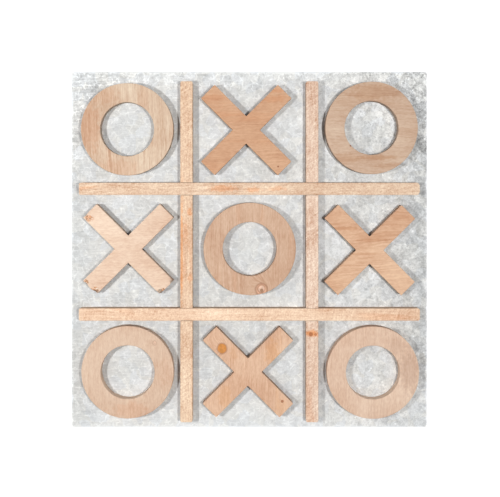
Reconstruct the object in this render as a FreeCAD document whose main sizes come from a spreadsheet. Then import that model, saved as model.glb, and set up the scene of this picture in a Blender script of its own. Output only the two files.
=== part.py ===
import FreeCAD, Part

import os
import re

import Sketcher
from FreeCAD import Base

# Tic tac toe set: a galvanised sheet board with a lattice of four wooden strips,
# and five wooden rings and four wooden crosses held to it by magnets.
# Millimetres, +Z up, +X right, +Y away from the player.
# The origin is on the table, under the middle of the board.

doc = FreeCAD.newDocument("tic_tac_toe_set")
sheet = doc.addObject("Spreadsheet::Sheet", "Dimensions")

SIZES = {
    # board: folded sheet pan over a fibreboard core
    "board_side": 400.0,
    "board_depth": 16.0,
    "sheet_gauge": 0.6,
    "bend_radius": 2.2,
    "corner_radius": 2.6,
    "flange_width": 16.0,
    "seam_width": 0.7,
    "core_gap": 0.3,
    "core_ease": 2.0,
    # rubber feet
    "foot_height": 2.5,
    "foot_dia": 16.0,
    "foot_ease": 1.0,
    "foot_pitch": 324.0,
    # strips of the lattice
    "strip_width": 14.0,
    "strip_height": 12.0,
    "strip_length": 378.0,
    "strip_ease": 0.5,
    "strip_end_ease": 1.2,
    "strip_pitch": 139.5,
    "grid_drop": 1.3,
    "lap_fit": 0.3,
    # screws through the core into the strips
    "strip_screw_pitch": 140.0,
    "strip_screw_length": 22.0,
    "screw_shank_dia": 3.5,
    "screw_head_dia": 7.0,
    "screw_head_rim": 0.4,
    "screw_point": 3.0,
    "screw_play": 0.4,
    "pilot_play": 0.2,
    "pilot_spare": 0.6,
    "drive_width": 1.0,
    "drive_span": 4.0,
    "drive_depth": 1.2,
    # screws through the return flange into the core
    "flange_screw_pitch": 240.0,
    "flange_screw_length": 10.0,
    "flange_shank_dia": 2.5,
    "flange_head_dia": 5.6,
    "flange_head_height": 1.6,
    # playing pieces
    "piece_thickness": 12.5,
    "piece_ease": 0.7,
    "ring_outer_dia": 102.6,
    "ring_inner_dia": 59.8,
    "cross_length": 120.6,
    "cross_width": 21.5,
    "cross_corner": 1.0,
    # disc magnets let into the backs of the pieces
    "magnet_dia": 10.0,
    "magnet_thickness": 2.0,
    "magnet_play": 0.2,
    "magnet_sink": 0.1,
    "ring_magnet_dia": 81.2,
    "cross_magnet_pitch": 74.0,
}

for row, (alias, value) in enumerate(SIZES.items(), start=1):
    sheet.set(f"A{row}", alias)
    sheet.set(f"B{row}", str(value))
    sheet.setAlias(f"B{row}", alias)
doc.recompute()

UP = Base.Vector(0, 0, 1)
CORE_BASE = "foot_height + sheet_gauge"
PLAY_FACE = "foot_height + board_depth"
HEAD_TAPER = "(screw_head_dia - screw_shank_dia) / 2"
MAGNET_SEAT = "magnet_thickness + magnet_sink"
ORIGIN = (-1, 1)


def in_cells(formula):
    """Spell a formula's aliases as cells of the sheet."""
    return re.sub(
        "[a-z_]+", lambda w: f"Dimensions.{w[0]}" if w[0] in SIZES else w[0], formula
    )


def bind(thing, prop, formula):
    thing.setExpression(prop, in_cells(formula))


def new_body(name):
    body = doc.addObject("PartDesign::Body", name)
    body.Label = name
    return body


def new_sketch(body, name, height=None, turn=0.0):
    """Sketch on the body's XY plane, raised by a formula and turned by degrees."""
    plane = next(p for p in body.Origin.OriginFeatures if p.Role == "XY_Plane")
    sketch = body.newObject("Sketcher::SketchObject", name)
    sketch.AttachmentSupport = (plane, "")
    sketch.MapMode = "FlatFace"
    sketch.AttachmentOffset = Base.Placement(Base.Vector(), Base.Rotation(UP, turn))
    if height:
        bind(sketch, "AttachmentOffset.Base.z", height)
    return sketch


def dimension(sketch, kind, *place, formula):
    """Driving dimension of a sketch, bound to the sheet."""
    start = {"Diameter": 20.0, "DistanceX": 50.0, "DistanceY": 40.0}[kind]
    index = sketch.addConstraint(Sketcher.Constraint(kind, *place, start))
    sketch.renameConstraint(index, f"size_{index}")
    bind(sketch, f"Constraints.size_{index}", formula)


def add_rectangle(sketch, wide, deep, right=None):
    """Rectangle centred on the sketch's origin, or on a point right of it."""
    shift = 100 if right else 0
    corners = [
        Base.Vector(shift + x, y, 0)
        for x, y in ((-25, -20), (25, -20), (25, 20), (-25, 20))
    ]
    sides = []
    for here, there in zip(corners, corners[1:] + corners[:1]):
        sides.append(sketch.addGeometry(Part.LineSegment(here, there), False))
    for side, following in zip(sides, sides[1:] + sides[:1]):
        sketch.addConstraint(Sketcher.Constraint("Coincident", side, 2, following, 1))
    for side, way in zip(sides, ("Horizontal", "Vertical") * 2):
        sketch.addConstraint(Sketcher.Constraint(way, side))
    centre = ORIGIN
    if right:
        point = sketch.addGeometry(Part.Point(Base.Vector(shift, 0, 0)), True)
        centre = (point, 1)
        sketch.addConstraint(Sketcher.Constraint("PointOnObject", *centre, -1))
        dimension(sketch, "DistanceX", *ORIGIN, *centre, formula=right)
    ends = (sides[0], 1, sides[1], 2)
    sketch.addConstraint(Sketcher.Constraint("Symmetric", *ends, *centre))
    dimension(sketch, "DistanceX", sides[0], 1, sides[0], 2, formula=wide)
    dimension(sketch, "DistanceY", sides[1], 1, sides[1], 2, formula=deep)


def add_circle(sketch, across, right=None, away=None):
    """Circle whose centre lies right of and away from the sketch's origin."""
    centre = Base.Vector(50 if right else 0, 40 if away else 0, 0)
    circle = sketch.addGeometry(Part.Circle(centre, UP, 10), False)
    dimension(sketch, "Diameter", circle, formula=across)
    if right:
        dimension(sketch, "DistanceX", *ORIGIN, circle, 3, formula=right)
    if away:
        dimension(sketch, "DistanceY", *ORIGIN, circle, 3, formula=away)
    if not right and not away:
        sketch.addConstraint(Sketcher.Constraint("Coincident", circle, 3, *ORIGIN))
    elif not away:
        sketch.addConstraint(Sketcher.Constraint("PointOnObject", circle, 3, -1))
    elif not right:
        sketch.addConstraint(Sketcher.Constraint("PointOnObject", circle, 3, -2))


def raise_pad(body, sketch, name, formula):
    pad = body.newObject("PartDesign::Pad", name)
    pad.Profile = sketch
    bind(pad, "Length", formula)
    doc.recompute()
    return pad


def cut_upward(body, sketch, name, formula):
    """Pocket that runs from its sketch towards +Z."""
    before = body.Shape.Volume
    pocket = body.newObject("PartDesign::Pocket", name)
    pocket.Profile = sketch
    pocket.Reversed = True
    bind(pocket, "Length", formula)
    doc.recompute()
    if body.Shape.Volume >= before:
        raise RuntimeError(f"{body.Label}: {name} removes nothing")
    return pocket


def edges_where(shape, wanted):
    return [f"Edge{n}" for n, edge in enumerate(shape.Edges, start=1) if wanted(edge)]


def is_upright(edge):
    ends = [v.Point for v in edge.Vertexes]
    return len(ends) == 2 and (ends[0] - ends[1]).cross(UP).Length < 1e-6


def is_level_at(height):
    def wanted(edge):
        box = edge.BoundBox
        return abs(box.ZMin - height) < 1e-6 and abs(box.ZMax - height) < 1e-6

    return wanted


def round_edges(body, feature, name, wanted, formula):
    fillet = body.newObject("PartDesign::Fillet", name)
    fillet.Base = (feature, edges_where(feature.Shape, wanted))
    bind(fillet, "Radius", formula)
    doc.recompute()
    return fillet


def place(thing, right=None, away=None, up=None, turn=0.0):
    """Placement in the frame of the set; each distance is a formula of the sheet."""
    thing.Placement = Base.Placement(Base.Vector(), Base.Rotation(UP, turn))
    for axis, formula in (("x", right), ("y", away), ("z", up)):
        if formula:
            bind(thing, f".Placement.Base.{axis}", formula)


def group_copies(name, master, spots):
    """One sub-part made of equal loose pieces; each spot gives right, away and up."""
    copies = []
    for number, (right, away, up) in enumerate(spots, start=1):
        copy = doc.addObject("App::Link", f"{name}_{number}")
        copy.LinkedObject = master
        copy.LinkTransform = False
        place(copy, right, away, up)
        copies.append(copy)
    group = doc.addObject("Part::Compound", name)
    group.Label = name
    group.Links = copies
    doc.recompute()
    return group


# ---------------------------------------------------------------- where things sit

STRIPS = {
    # name: (runs left to right, centre right, centre away)
    "strip_left": (False, "-strip_pitch / 2", "-grid_drop"),
    "strip_right": (False, "strip_pitch / 2", "-grid_drop"),
    "strip_upper": (True, None, "strip_pitch / 2 - grid_drop"),
    "strip_lower": (True, None, "-strip_pitch / 2 - grid_drop"),
}
RINGS = {
    # name: (centre right, centre away, turn in degrees), laid down by hand
    "ring_top_left": (-135.5, 134.5, 20),
    "ring_top_right": (135.5, 136, 75),
    "ring_centre": (0.4, 1.7, 40),
    "ring_bottom_left": (-135, -135, 5),
    "ring_bottom_right": (137, -135.3, 100),
}
CROSSES = {
    "cross_top": (-3.5, 133.7, 45),
    "cross_left": (-134.3, 1.5, 45),
    "cross_right": (133.5, 0.5, 44.7),
    "cross_bottom": (-1.6, -134.8, 44.9),
}


def strip_spots(right, away):
    """Screw positions of one strip as formulas in the frame of the set."""
    runs_across = right is None
    spots = []
    for step in ("-strip_screw_pitch", "0", "strip_screw_pitch"):
        if runs_across:
            spots.append((step, away))
        else:
            spots.append((right, f"{step} + ({away})"))
    return spots


STRIP_SCREWS = [
    spot for _, right, away in STRIPS.values() for spot in strip_spots(right, away)
]
FLANGE_LINE = "board_side / 2 - flange_width / 2"
FLANGE_SCREWS = []
for sign in ("", "-"):
    for step in ("-flange_screw_pitch / 2", "flange_screw_pitch / 2"):
        FLANGE_SCREWS.append((f"{sign}({FLANGE_LINE})", step))
        FLANGE_SCREWS.append((step, f"{sign}({FLANGE_LINE})"))
FEET = [
    (f"{x}foot_pitch / 2", f"{y}foot_pitch / 2") for x in ("", "-") for y in ("", "-")
]


# ---------------------------------------------------------------- board


def make_sheet_cover():
    """Sheet folded down at four sides and back under the core, open at the mitres."""
    body = new_body("sheet_cover")
    inside = "board_side - 2 * sheet_gauge"
    outline = new_sketch(body, "sheet_outline")
    add_rectangle(outline, "board_side", "board_side")
    raise_pad(body, outline, "sheet_block", "board_depth")
    hollow = new_sketch(body, "core_outline")
    add_rectangle(hollow, inside, inside)
    cut_upward(body, hollow, "core_space", "board_depth - sheet_gauge")
    rim = new_sketch(body, "flange_outline")
    add_rectangle(rim, inside, inside)
    add_rectangle(rim, "board_side - 2 * flange_width", "board_side - 2 * flange_width")
    last = raise_pad(body, rim, "return_flange", "sheet_gauge")

    half = sheet.board_side / 2
    gauge = sheet.sheet_gauge

    def reaches(edge, limit):
        box = edge.BoundBox
        far = max(abs(box.XMin), abs(box.XMax), abs(box.YMin), abs(box.YMax))
        return abs(far - limit) < 1e-6

    def level_either(edge, low, high):
        return is_level_at(low)(edge) or is_level_at(high)(edge)

    folds = (
        ("outer_corners", "corner_radius", lambda e: is_upright(e) and reaches(e, half)),
        (
            "inner_corners",
            "corner_radius - sheet_gauge",
            lambda e: is_upright(e) and reaches(e, half - gauge),
        ),
        (
            "outer_bends",
            "bend_radius",
            lambda e: level_either(e, 0, sheet.board_depth) and reaches(e, half),
        ),
        (
            "inner_bends",
            "bend_radius - sheet_gauge",
            lambda e: level_either(e, gauge, sheet.board_depth - gauge)
            and reaches(e, half - gauge),
        ),
    )
    for name, radius, wanted in folds:
        last = round_edges(body, last, name, wanted, radius)

    for number, turn in enumerate((45, -45), start=1):
        seam = new_sketch(body, f"seam_line_{number}", turn=turn)
        add_rectangle(seam, "1.5 * board_side", "seam_width")
        cut_upward(body, seam, f"seam_{number}", "board_depth - bend_radius")
    top_holes = new_sketch(body, "strip_screw_centres", "board_depth / 2")
    for right, away in STRIP_SCREWS:
        add_circle(top_holes, "screw_shank_dia + screw_play", right, away)
    cut_upward(body, top_holes, "strip_screw_holes", "board_depth")
    rim_holes = new_sketch(body, "flange_screw_centres")
    for right, away in FLANGE_SCREWS:
        add_circle(rim_holes, "flange_shank_dia + screw_play", right, away)
    cut_upward(body, rim_holes, "flange_screw_holes", "board_depth / 2")
    place(body, up="foot_height")
    return body


def make_core_panel():
    """Fibreboard panel that fills the folded sheet, drilled from the back."""
    body = new_body("core_panel")
    wide = "board_side - 2 * (sheet_gauge + core_gap)"
    deep = "board_depth - 2 * sheet_gauge"
    outline = new_sketch(body, "panel_outline")
    add_rectangle(outline, wide, wide)
    panel = raise_pad(body, outline, "panel", deep)
    half_depth = sheet.board_depth / 2 - sheet.sheet_gauge
    corners = round_edges(body, panel, "panel_corners", is_upright, "core_ease")

    def at_faces(edge):
        box = edge.BoundBox
        return box.ZLength < 1e-6 and abs(abs(box.ZMin - half_depth) - half_depth) < 1e-6

    round_edges(body, corners, "panel_edges", at_faces, "core_ease")
    shanks = new_sketch(body, "panel_screw_centres")
    for right, away in STRIP_SCREWS:
        add_circle(shanks, "screw_shank_dia + screw_play", right, away)
    cut_upward(body, shanks, "screw_holes", "board_depth")
    pilots = new_sketch(body, "panel_flange_centres")
    for right, away in FLANGE_SCREWS:
        add_circle(pilots, "flange_shank_dia + pilot_play", right, away)
    cut_upward(body, pilots, "pilot_holes", "flange_screw_length + pilot_spare")

    for number, (right, away) in enumerate(STRIP_SCREWS, start=1):
        before = body.Shape.Volume
        seat = body.newObject("PartDesign::SubtractiveCone", f"head_seat_{number}")
        bind(seat, "Radius1", "screw_head_dia / 2 + screw_play")
        bind(seat, "Radius2", "screw_shank_dia / 2 + screw_play / 2")
        bind(seat, "Height", f"{HEAD_TAPER} + screw_head_rim + screw_play / 2")
        seat.AttachmentSupport = outline.AttachmentSupport
        seat.MapMode = "FlatFace"
        bind(seat, "AttachmentOffset.Base.x", right)
        bind(seat, "AttachmentOffset.Base.y", away)
        body.Tip = seat
        doc.recompute()
        if body.Shape.Volume >= before:
            raise RuntimeError(f"{seat.Name} removes nothing")
    place(body, up=CORE_BASE)
    return body


def make_foot():
    """Self-adhesive rubber bumper, slightly domed at its edge."""
    body = new_body("foot_pattern")
    outline = new_sketch(body, "foot_outline")
    add_circle(outline, "foot_dia")
    pad = raise_pad(body, outline, "foot_disc", "foot_height + sheet_gauge")
    round_edges(body, pad, "foot_edge", is_level_at(0), "foot_ease")
    return body


# ---------------------------------------------------------------- lattice


def make_strip(name):
    """Square wooden strip with two half-laps and three pilot holes in its underside."""
    runs_across, right, away = STRIPS[name]
    body = new_body(name)
    outline = new_sketch(body, f"{name}_outline")
    add_rectangle(outline, "strip_length", "strip_width")
    bar = raise_pad(body, outline, f"{name}_bar", "strip_height")
    ends = round_edges(body, bar, f"{name}_ends", is_upright, "strip_end_ease")
    top = is_level_at(sheet.strip_height)
    round_edges(body, ends, f"{name}_edges", top, "strip_ease")

    half_height = "strip_height / 2"
    lap = new_sketch(body, f"{name}_lap_outline", None if runs_across else half_height)
    for step in ("-strip_pitch / 2", "strip_pitch / 2"):
        add_rectangle(lap, "strip_width + lap_fit", "2 * strip_width", step)
    cut_upward(body, lap, f"{name}_laps", half_height)
    pilots = new_sketch(body, f"{name}_pilot_centres")
    for step in ("-strip_screw_pitch", None, "strip_screw_pitch"):
        add_circle(pilots, "screw_shank_dia + pilot_play", step)
    bite = "strip_screw_length - board_depth + sheet_gauge + pilot_spare"
    cut_upward(body, pilots, f"{name}_pilots", bite)
    place(body, right, away, PLAY_FACE, 0 if runs_across else 90)
    return body


# ---------------------------------------------------------------- screws


def make_screw(name, stages):
    """Screw pointing up, head down, with a cross-shaped recess in its head.

    Each stage, from the head on, gives its lower and upper radius and its height.
    """
    solids = []
    below = "0"
    for number, (low_radius, high_radius, height) in enumerate(stages, start=1):
        if low_radius == high_radius:
            solid = doc.addObject("Part::Cylinder", f"{name}_stage_{number}")
            bind(solid, "Radius", low_radius)
        else:
            solid = doc.addObject("Part::Cone", f"{name}_stage_{number}")
            bind(solid, "Radius1", low_radius)
            bind(solid, "Radius2", high_radius)
        bind(solid, "Height", height)
        place(solid, up=below)
        below = f"{below} + {height}"
        solids.append(solid)
    blank = doc.addObject("Part::MultiFuse", f"{name}_blank")
    blank.Shapes = solids
    slots = []
    for number, (length, width) in enumerate(
        (("drive_span", "drive_width"), ("drive_width", "drive_span")), start=1
    ):
        slot = doc.addObject("Part::Box", f"{name}_slot_{number}")
        bind(slot, "Length", length)
        bind(slot, "Width", width)
        bind(slot, "Height", "drive_depth")
        place(slot, f"-{length} / 2", f"-{width} / 2")
        slots.append(slot)
    recess = doc.addObject("Part::MultiFuse", f"{name}_recess")
    recess.Shapes = slots
    screw = doc.addObject("Part::Cut", name)
    screw.Base = blank
    screw.Tool = recess
    doc.recompute()
    return screw


def make_strip_screws():
    """Countersunk screws, one pattern piece copied to every hole under the strips."""
    head = "screw_head_dia / 2"
    shank = "screw_shank_dia / 2"
    straight = f"strip_screw_length - screw_head_rim - {HEAD_TAPER} - screw_point"
    pattern = make_screw(
        "strip_screw_pattern",
        (
            (head, head, "screw_head_rim"),
            (head, shank, HEAD_TAPER),
            (shank, shank, straight),
            (shank, "screw_shank_dia / 10", "screw_point"),
        ),
    )
    return group_copies(
        "strip_screws", pattern, [(x, y, CORE_BASE) for x, y in STRIP_SCREWS]
    )


def make_flange_screws():
    """Small pan-head screws that hold the return flange to the core."""
    head = "flange_head_dia / 2"
    shank = "flange_shank_dia / 2"
    pattern = make_screw(
        "flange_screw_pattern",
        (
            ("flange_head_dia * 0.36", head, "flange_head_height / 2"),
            (head, head, "flange_head_height / 2"),
            (shank, shank, "flange_screw_length - screw_point / 2"),
            (shank, "flange_shank_dia / 10", "screw_point / 2"),
        ),
    )
    base = "foot_height - flange_head_height"
    return group_copies(
        "flange_screws", pattern, [(x, y, base) for x, y in FLANGE_SCREWS]
    )


# ---------------------------------------------------------------- playing pieces


def ease_faces(body, feature, name):
    """Round a flat piece's edges where its two faces meet its sides."""
    at_back = is_level_at(0)
    at_face = is_level_at(sheet.piece_thickness)
    return round_edges(
        body, feature, name, lambda e: at_back(e) or at_face(e), "piece_ease"
    )


def make_ring(name, right, away, turn):
    """Wooden ring with three magnet seats drilled in its back."""
    body = new_body(name)
    outline = new_sketch(body, f"{name}_outline")
    add_circle(outline, "ring_outer_dia")
    add_circle(outline, "ring_inner_dia")
    blank = raise_pad(body, outline, f"{name}_blank", "piece_thickness")
    ease_faces(body, blank, f"{name}_edges")
    seat_sketch = new_sketch(body, f"{name}_seat_outline")
    add_circle(seat_sketch, "magnet_dia + magnet_play", "ring_magnet_dia / 2")
    seat = cut_upward(body, seat_sketch, f"{name}_seat", MAGNET_SEAT)
    pattern = body.newObject("PartDesign::PolarPattern", f"{name}_seats")
    pattern.Originals = [seat]
    pattern.Axis = (seat_sketch, ["N_Axis"])
    pattern.Angle = 360
    pattern.Occurrences = 3
    body.Tip = pattern
    lay_down(body, right, away, turn)
    return body


def make_cross(name, right, away, turn):
    """Wooden cross sawn in one piece, with two magnet seats drilled in its back."""
    body = new_body(name)
    first = new_sketch(body, f"{name}_first_arm")
    add_rectangle(first, "cross_length", "cross_width")
    raise_pad(body, first, f"{name}_first", "piece_thickness")
    second = new_sketch(body, f"{name}_second_arm")
    add_rectangle(second, "cross_width", "cross_length")
    both = raise_pad(body, second, f"{name}_second", "piece_thickness")
    tip = sheet.cross_length / 2

    def at_tip(edge):
        point = edge.Vertexes[0].Point
        return is_upright(edge) and abs(max(abs(point.x), abs(point.y)) - tip) < 1e-6

    tips = round_edges(body, both, f"{name}_tips", at_tip, "cross_corner")
    ease_faces(body, tips, f"{name}_edges")
    seats = new_sketch(body, f"{name}_seat_outline")
    for step in ("-cross_magnet_pitch / 2", "cross_magnet_pitch / 2"):
        add_circle(seats, "magnet_dia + magnet_play", step)
    cut_upward(body, seats, f"{name}_seats", MAGNET_SEAT)
    lay_down(body, right, away, turn)
    return body


def lay_down(thing, right, away, turn):
    """Lay a piece, or what is fixed in its back, on the sheet."""
    place(thing, str(right), str(away), PLAY_FACE, turn)
    doc.recompute()


def make_magnets(name, pattern, spots, right, away, turn):
    """Disc magnets of one piece, held just below its back."""
    group = group_copies(name, pattern, [(x, y, "magnet_sink") for x, y in spots])
    lay_down(group, right, away, turn)
    return group


# ---------------------------------------------------------------- the set

parts = [make_sheet_cover(), make_core_panel()]
parts += [make_strip(name) for name in STRIPS]
parts += [make_strip_screws(), make_flange_screws()]
parts.append(group_copies("rubber_feet", make_foot(), [(x, y, None) for x, y in FEET]))

disc = doc.addObject("Part::Cylinder", "magnet_pattern")
bind(disc, "Radius", "magnet_dia / 2")
bind(disc, "Height", "magnet_thickness")
orbit = "ring_magnet_dia / 2"
ring_spots = [(orbit, None)]
ring_spots += [(f"-{orbit} / 2", f"{sign}{orbit} * sin(60)") for sign in ("", "-")]
cross_spots = [(f"{sign}cross_magnet_pitch / 2", None) for sign in ("-", "")]
for name, spot in RINGS.items():
    parts.append(make_ring(name, *spot))
    parts.append(make_magnets(f"{name}_magnets", disc, ring_spots, *spot))
for name, spot in CROSSES.items():
    parts.append(make_cross(name, *spot))
    parts.append(make_magnets(f"{name}_magnets", disc, cross_spots, *spot))

doc.recompute()

# ---------------------------------------------------------------- check and write

for thing in doc.Objects:
    if "Invalid" in thing.State or "Error" in thing.State:
        raise RuntimeError(f"{thing.Label} failed: {thing.State}")
for part in parts:
    if part.Shape.isNull() or not part.Shape.isValid():
        raise RuntimeError(f"{part.Label} has no valid shape")

os.makedirs("parts", exist_ok=True)
for part in parts:
    part.Shape.exportStep(os.path.join("parts", part.Label + ".step"))
    box = part.Shape.BoundBox
    count = len(part.Shape.Solids)
    print(
        f"{part.Label:28} {count:2} solid(s)  {part.Shape.Volume:10.0f} mm3  "
        f"z {box.ZMin:6.2f} to {box.ZMax:6.2f}"
    )
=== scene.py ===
import math

import bmesh
import bpy
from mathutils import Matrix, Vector, noise


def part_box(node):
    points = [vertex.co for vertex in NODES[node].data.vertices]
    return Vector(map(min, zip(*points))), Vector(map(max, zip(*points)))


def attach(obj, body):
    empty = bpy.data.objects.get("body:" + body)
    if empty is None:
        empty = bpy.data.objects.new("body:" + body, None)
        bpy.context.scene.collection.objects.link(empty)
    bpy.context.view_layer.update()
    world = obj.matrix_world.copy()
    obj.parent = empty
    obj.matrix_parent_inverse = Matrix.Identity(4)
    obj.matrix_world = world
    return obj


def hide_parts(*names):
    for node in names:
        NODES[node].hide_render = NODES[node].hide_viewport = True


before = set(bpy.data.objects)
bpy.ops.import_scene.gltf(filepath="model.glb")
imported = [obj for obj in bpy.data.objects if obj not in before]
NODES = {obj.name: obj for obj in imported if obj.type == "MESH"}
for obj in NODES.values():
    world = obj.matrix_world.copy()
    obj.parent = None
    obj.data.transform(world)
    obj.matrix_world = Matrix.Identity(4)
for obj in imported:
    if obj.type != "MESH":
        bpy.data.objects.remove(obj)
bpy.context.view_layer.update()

MM = 0.001


# ------------------------------------------------------------------ mesh helpers


def wobble(x, y, z, seed):
    """Smooth noise from -1 to 1 at a place."""
    return noise.noise(Vector((x + 17.3 * seed, y - 9.1 * seed, z + 4.7 * seed)))


def finish_mesh(name, bm, sharp_degrees=32.0, origin=(0, 0, 0)):
    """Turn a bmesh into a smooth-shaded object with sharp edges kept sharp."""
    bmesh.ops.remove_doubles(bm, verts=bm.verts, dist=1e-6)
    bmesh.ops.recalc_face_normals(bm, faces=bm.faces)
    mesh = bpy.data.meshes.new(name)
    bm.to_mesh(mesh)
    bm.free()
    for polygon in mesh.polygons:
        polygon.use_smooth = True
    mesh.set_sharp_from_angle(angle=math.radians(sharp_degrees))
    piece = bpy.data.objects.new(name, mesh)
    piece.location = origin
    bpy.context.scene.collection.objects.link(piece)
    return piece


def apply_modifiers(piece, sharp_degrees=32.0):
    """Bake a piece's modifiers into its mesh."""
    graph = bpy.context.evaluated_depsgraph_get()
    graph.update()
    mesh = bpy.data.meshes.new_from_object(piece.evaluated_get(graph))
    piece.modifiers.clear()
    piece.data = mesh
    for polygon in mesh.polygons:
        polygon.use_smooth = True
    mesh.set_sharp_from_angle(angle=math.radians(sharp_degrees))


def drill_seats(piece, centres, radius, depth):
    """Blind round seats in the underside of a piece whose back is at z = 0."""
    bm = bmesh.new()
    for x, y in centres:
        made = bmesh.ops.create_cone(
            bm, cap_ends=True, segments=48, radius1=radius, radius2=radius, depth=2 * depth
        )
        bmesh.ops.translate(bm, verts=made["verts"], vec=(x, y, 0))
    cutter = finish_mesh(piece.name + "_cutter", bm)
    cutter.location = piece.location
    cut = piece.modifiers.new("seats", "BOOLEAN")
    cut.operation = "DIFFERENCE"
    cut.solver = "EXACT"
    cut.object = cutter
    apply_modifiers(piece)
    bpy.data.objects.remove(cutter)


def eased_outline(height, ease, steps=4):
    """(inset, z) pairs up the side of a slab whose two edges are rounded."""
    points = []
    for n in range(steps + 1):
        angle = 0.5 * math.pi * n / steps
        points.append((ease * (1 - math.sin(angle)), ease * (1 - math.cos(angle))))
    points += [(0.0, height * part) for part in (0.3, 0.5, 0.7)]
    for n in range(steps + 1):
        angle = 0.5 * math.pi * n / steps
        points.append((ease * (1 - math.cos(angle)), height - ease * (1 - math.sin(angle))))
    return points


# ------------------------------------------------------------------ node helpers


class Graph:
    """Short spellings for building a material's nodes."""

    def __init__(self, name):
        self.material = bpy.data.materials.new(name)
        self.material.use_nodes = True
        self.tree = self.material.node_tree
        self.tree.nodes.clear()
        out = self.tree.nodes.new("ShaderNodeOutputMaterial")
        self.shader = self.tree.nodes.new("ShaderNodeBsdfPrincipled")
        self.tree.links.new(self.shader.outputs[0], out.inputs[0])
        coords = self.tree.nodes.new("ShaderNodeTexCoord")
        self.place = coords.outputs["Object"]

    def put(self, socket, value):
        if isinstance(value, bpy.types.NodeSocket):
            self.tree.links.new(value, socket)
        else:
            socket.default_value = value

    def math(self, operation, *values):
        node = self.tree.nodes.new("ShaderNodeMath")
        node.operation = operation
        for socket, value in zip(node.inputs, values):
            self.put(socket, value)
        return node.outputs[0]

    def add(self, first, *others):
        for value in others:
            first = self.math("ADD", first, value)
        return first

    def times(self, first, *others):
        for value in others:
            first = self.math("MULTIPLY", first, value)
        return first

    def less(self, value, taken):
        return self.math("SUBTRACT", value, taken)

    def most(self, first, second):
        return self.math("MAXIMUM", first, second)

    def size_of(self, value):
        return self.math("ABSOLUTE", value)

    def signed(self, value):
        """A 0 to 1 value as -1 to 1."""
        return self.times(self.less(value, 0.5), 2.0)

    def vector(self, operation, *values):
        node = self.tree.nodes.new("ShaderNodeVectorMath")
        node.operation = operation
        for socket, value in zip(node.inputs, values):
            self.put(socket, value)
        return node.outputs["Value" if operation == "LENGTH" else "Vector"]

    def join(self, x, y, z):
        node = self.tree.nodes.new("ShaderNodeCombineXYZ")
        for socket, value in zip(node.inputs, (x, y, z)):
            self.put(socket, value)
        return node.outputs[0]

    def split(self, vector):
        node = self.tree.nodes.new("ShaderNodeSeparateXYZ")
        self.put(node.inputs[0], vector)
        return node.outputs

    def turned(self, vector, angle):
        node = self.tree.nodes.new("ShaderNodeMapping")
        node.vector_type = "POINT"
        self.put(node.inputs["Vector"], vector)
        node.inputs["Rotation"].default_value = (0, 0, angle)
        return node.outputs[0]

    def stretched(self, vector, x, y, z):
        return self.vector("MULTIPLY", vector, (x, y, z))

    def scaled(self, vector, factor):
        return self.stretched(vector, factor, factor, factor)

    def noise(self, vector, scale=1.0, detail=3.0, rough=0.55, colour=False):
        node = self.tree.nodes.new("ShaderNodeTexNoise")
        self.put(node.inputs["Vector"], vector)
        node.inputs["Scale"].default_value = scale
        node.inputs["Detail"].default_value = detail
        node.inputs["Roughness"].default_value = rough
        return node.outputs["Color" if colour else "Fac"]

    def cells(self, vector, scale, feature="F1", output="Color"):
        node = self.tree.nodes.new("ShaderNodeTexVoronoi")
        node.feature = feature
        self.put(node.inputs["Vector"], vector)
        node.inputs["Scale"].default_value = scale
        return node.outputs[output]

    def ramp(self, value, low, high, to_low=0.0, to_high=1.0):
        node = self.tree.nodes.new("ShaderNodeMapRange")
        node.interpolation_type = "SMOOTHSTEP"
        node.clamp = True
        for socket, number in zip(node.inputs, (value, low, high, to_low, to_high)):
            self.put(socket, number)
        return node.outputs[0]

    def mix(self, factor, first, second, blend="MIX"):
        node = self.tree.nodes.new("ShaderNodeMix")
        node.data_type = "RGBA"
        node.blend_type = blend
        self.put(node.inputs["Factor"], factor)
        for socket, value in ((node.inputs[6], first), (node.inputs[7], second)):
            if isinstance(value, tuple) and len(value) == 3:
                value = (*value, 1.0)
            self.put(socket, value)
        return node.outputs[2]

    def tone(self, colour, value):
        """A colour made lighter or darker by a grey value."""
        return self.mix(1.0, colour, self.join(value, value, value), "MULTIPLY")

    def bump(self, height, distance, strength):
        node = self.tree.nodes.new("ShaderNodeBump")
        node.inputs["Strength"].default_value = strength
        node.inputs["Distance"].default_value = distance
        self.put(node.inputs["Height"], height)
        return node.outputs[0]


def linear(red, green, blue):
    """Scene colour from the everyday 0 to 255 numbers."""
    return tuple((c / 255) ** 2.2 for c in (red, green, blue))


def shade(colour, factor):
    return tuple(c * factor for c in colour)


# ------------------------------------------------------------------ materials


KNOT_RIM = linear(140, 82, 52)
SPLINTER_DARK = linear(120, 84, 58)
SPLINTER_ORANGE = linear(216, 142, 88)
SPLINTER_PALE = linear(255, 246, 226)
# painted shade: the near-black colour painted into a cross's inner corners
CORNER_SHADE = linear(44, 30, 22)
# heights on a piece or strip: its sides are saw-cut below the first, planed above the second
CUT_BELOW = 11.0 * MM
PLANED_ABOVE = 12.0 * MM
ARM_HALF = 10.75 * MM


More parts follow.
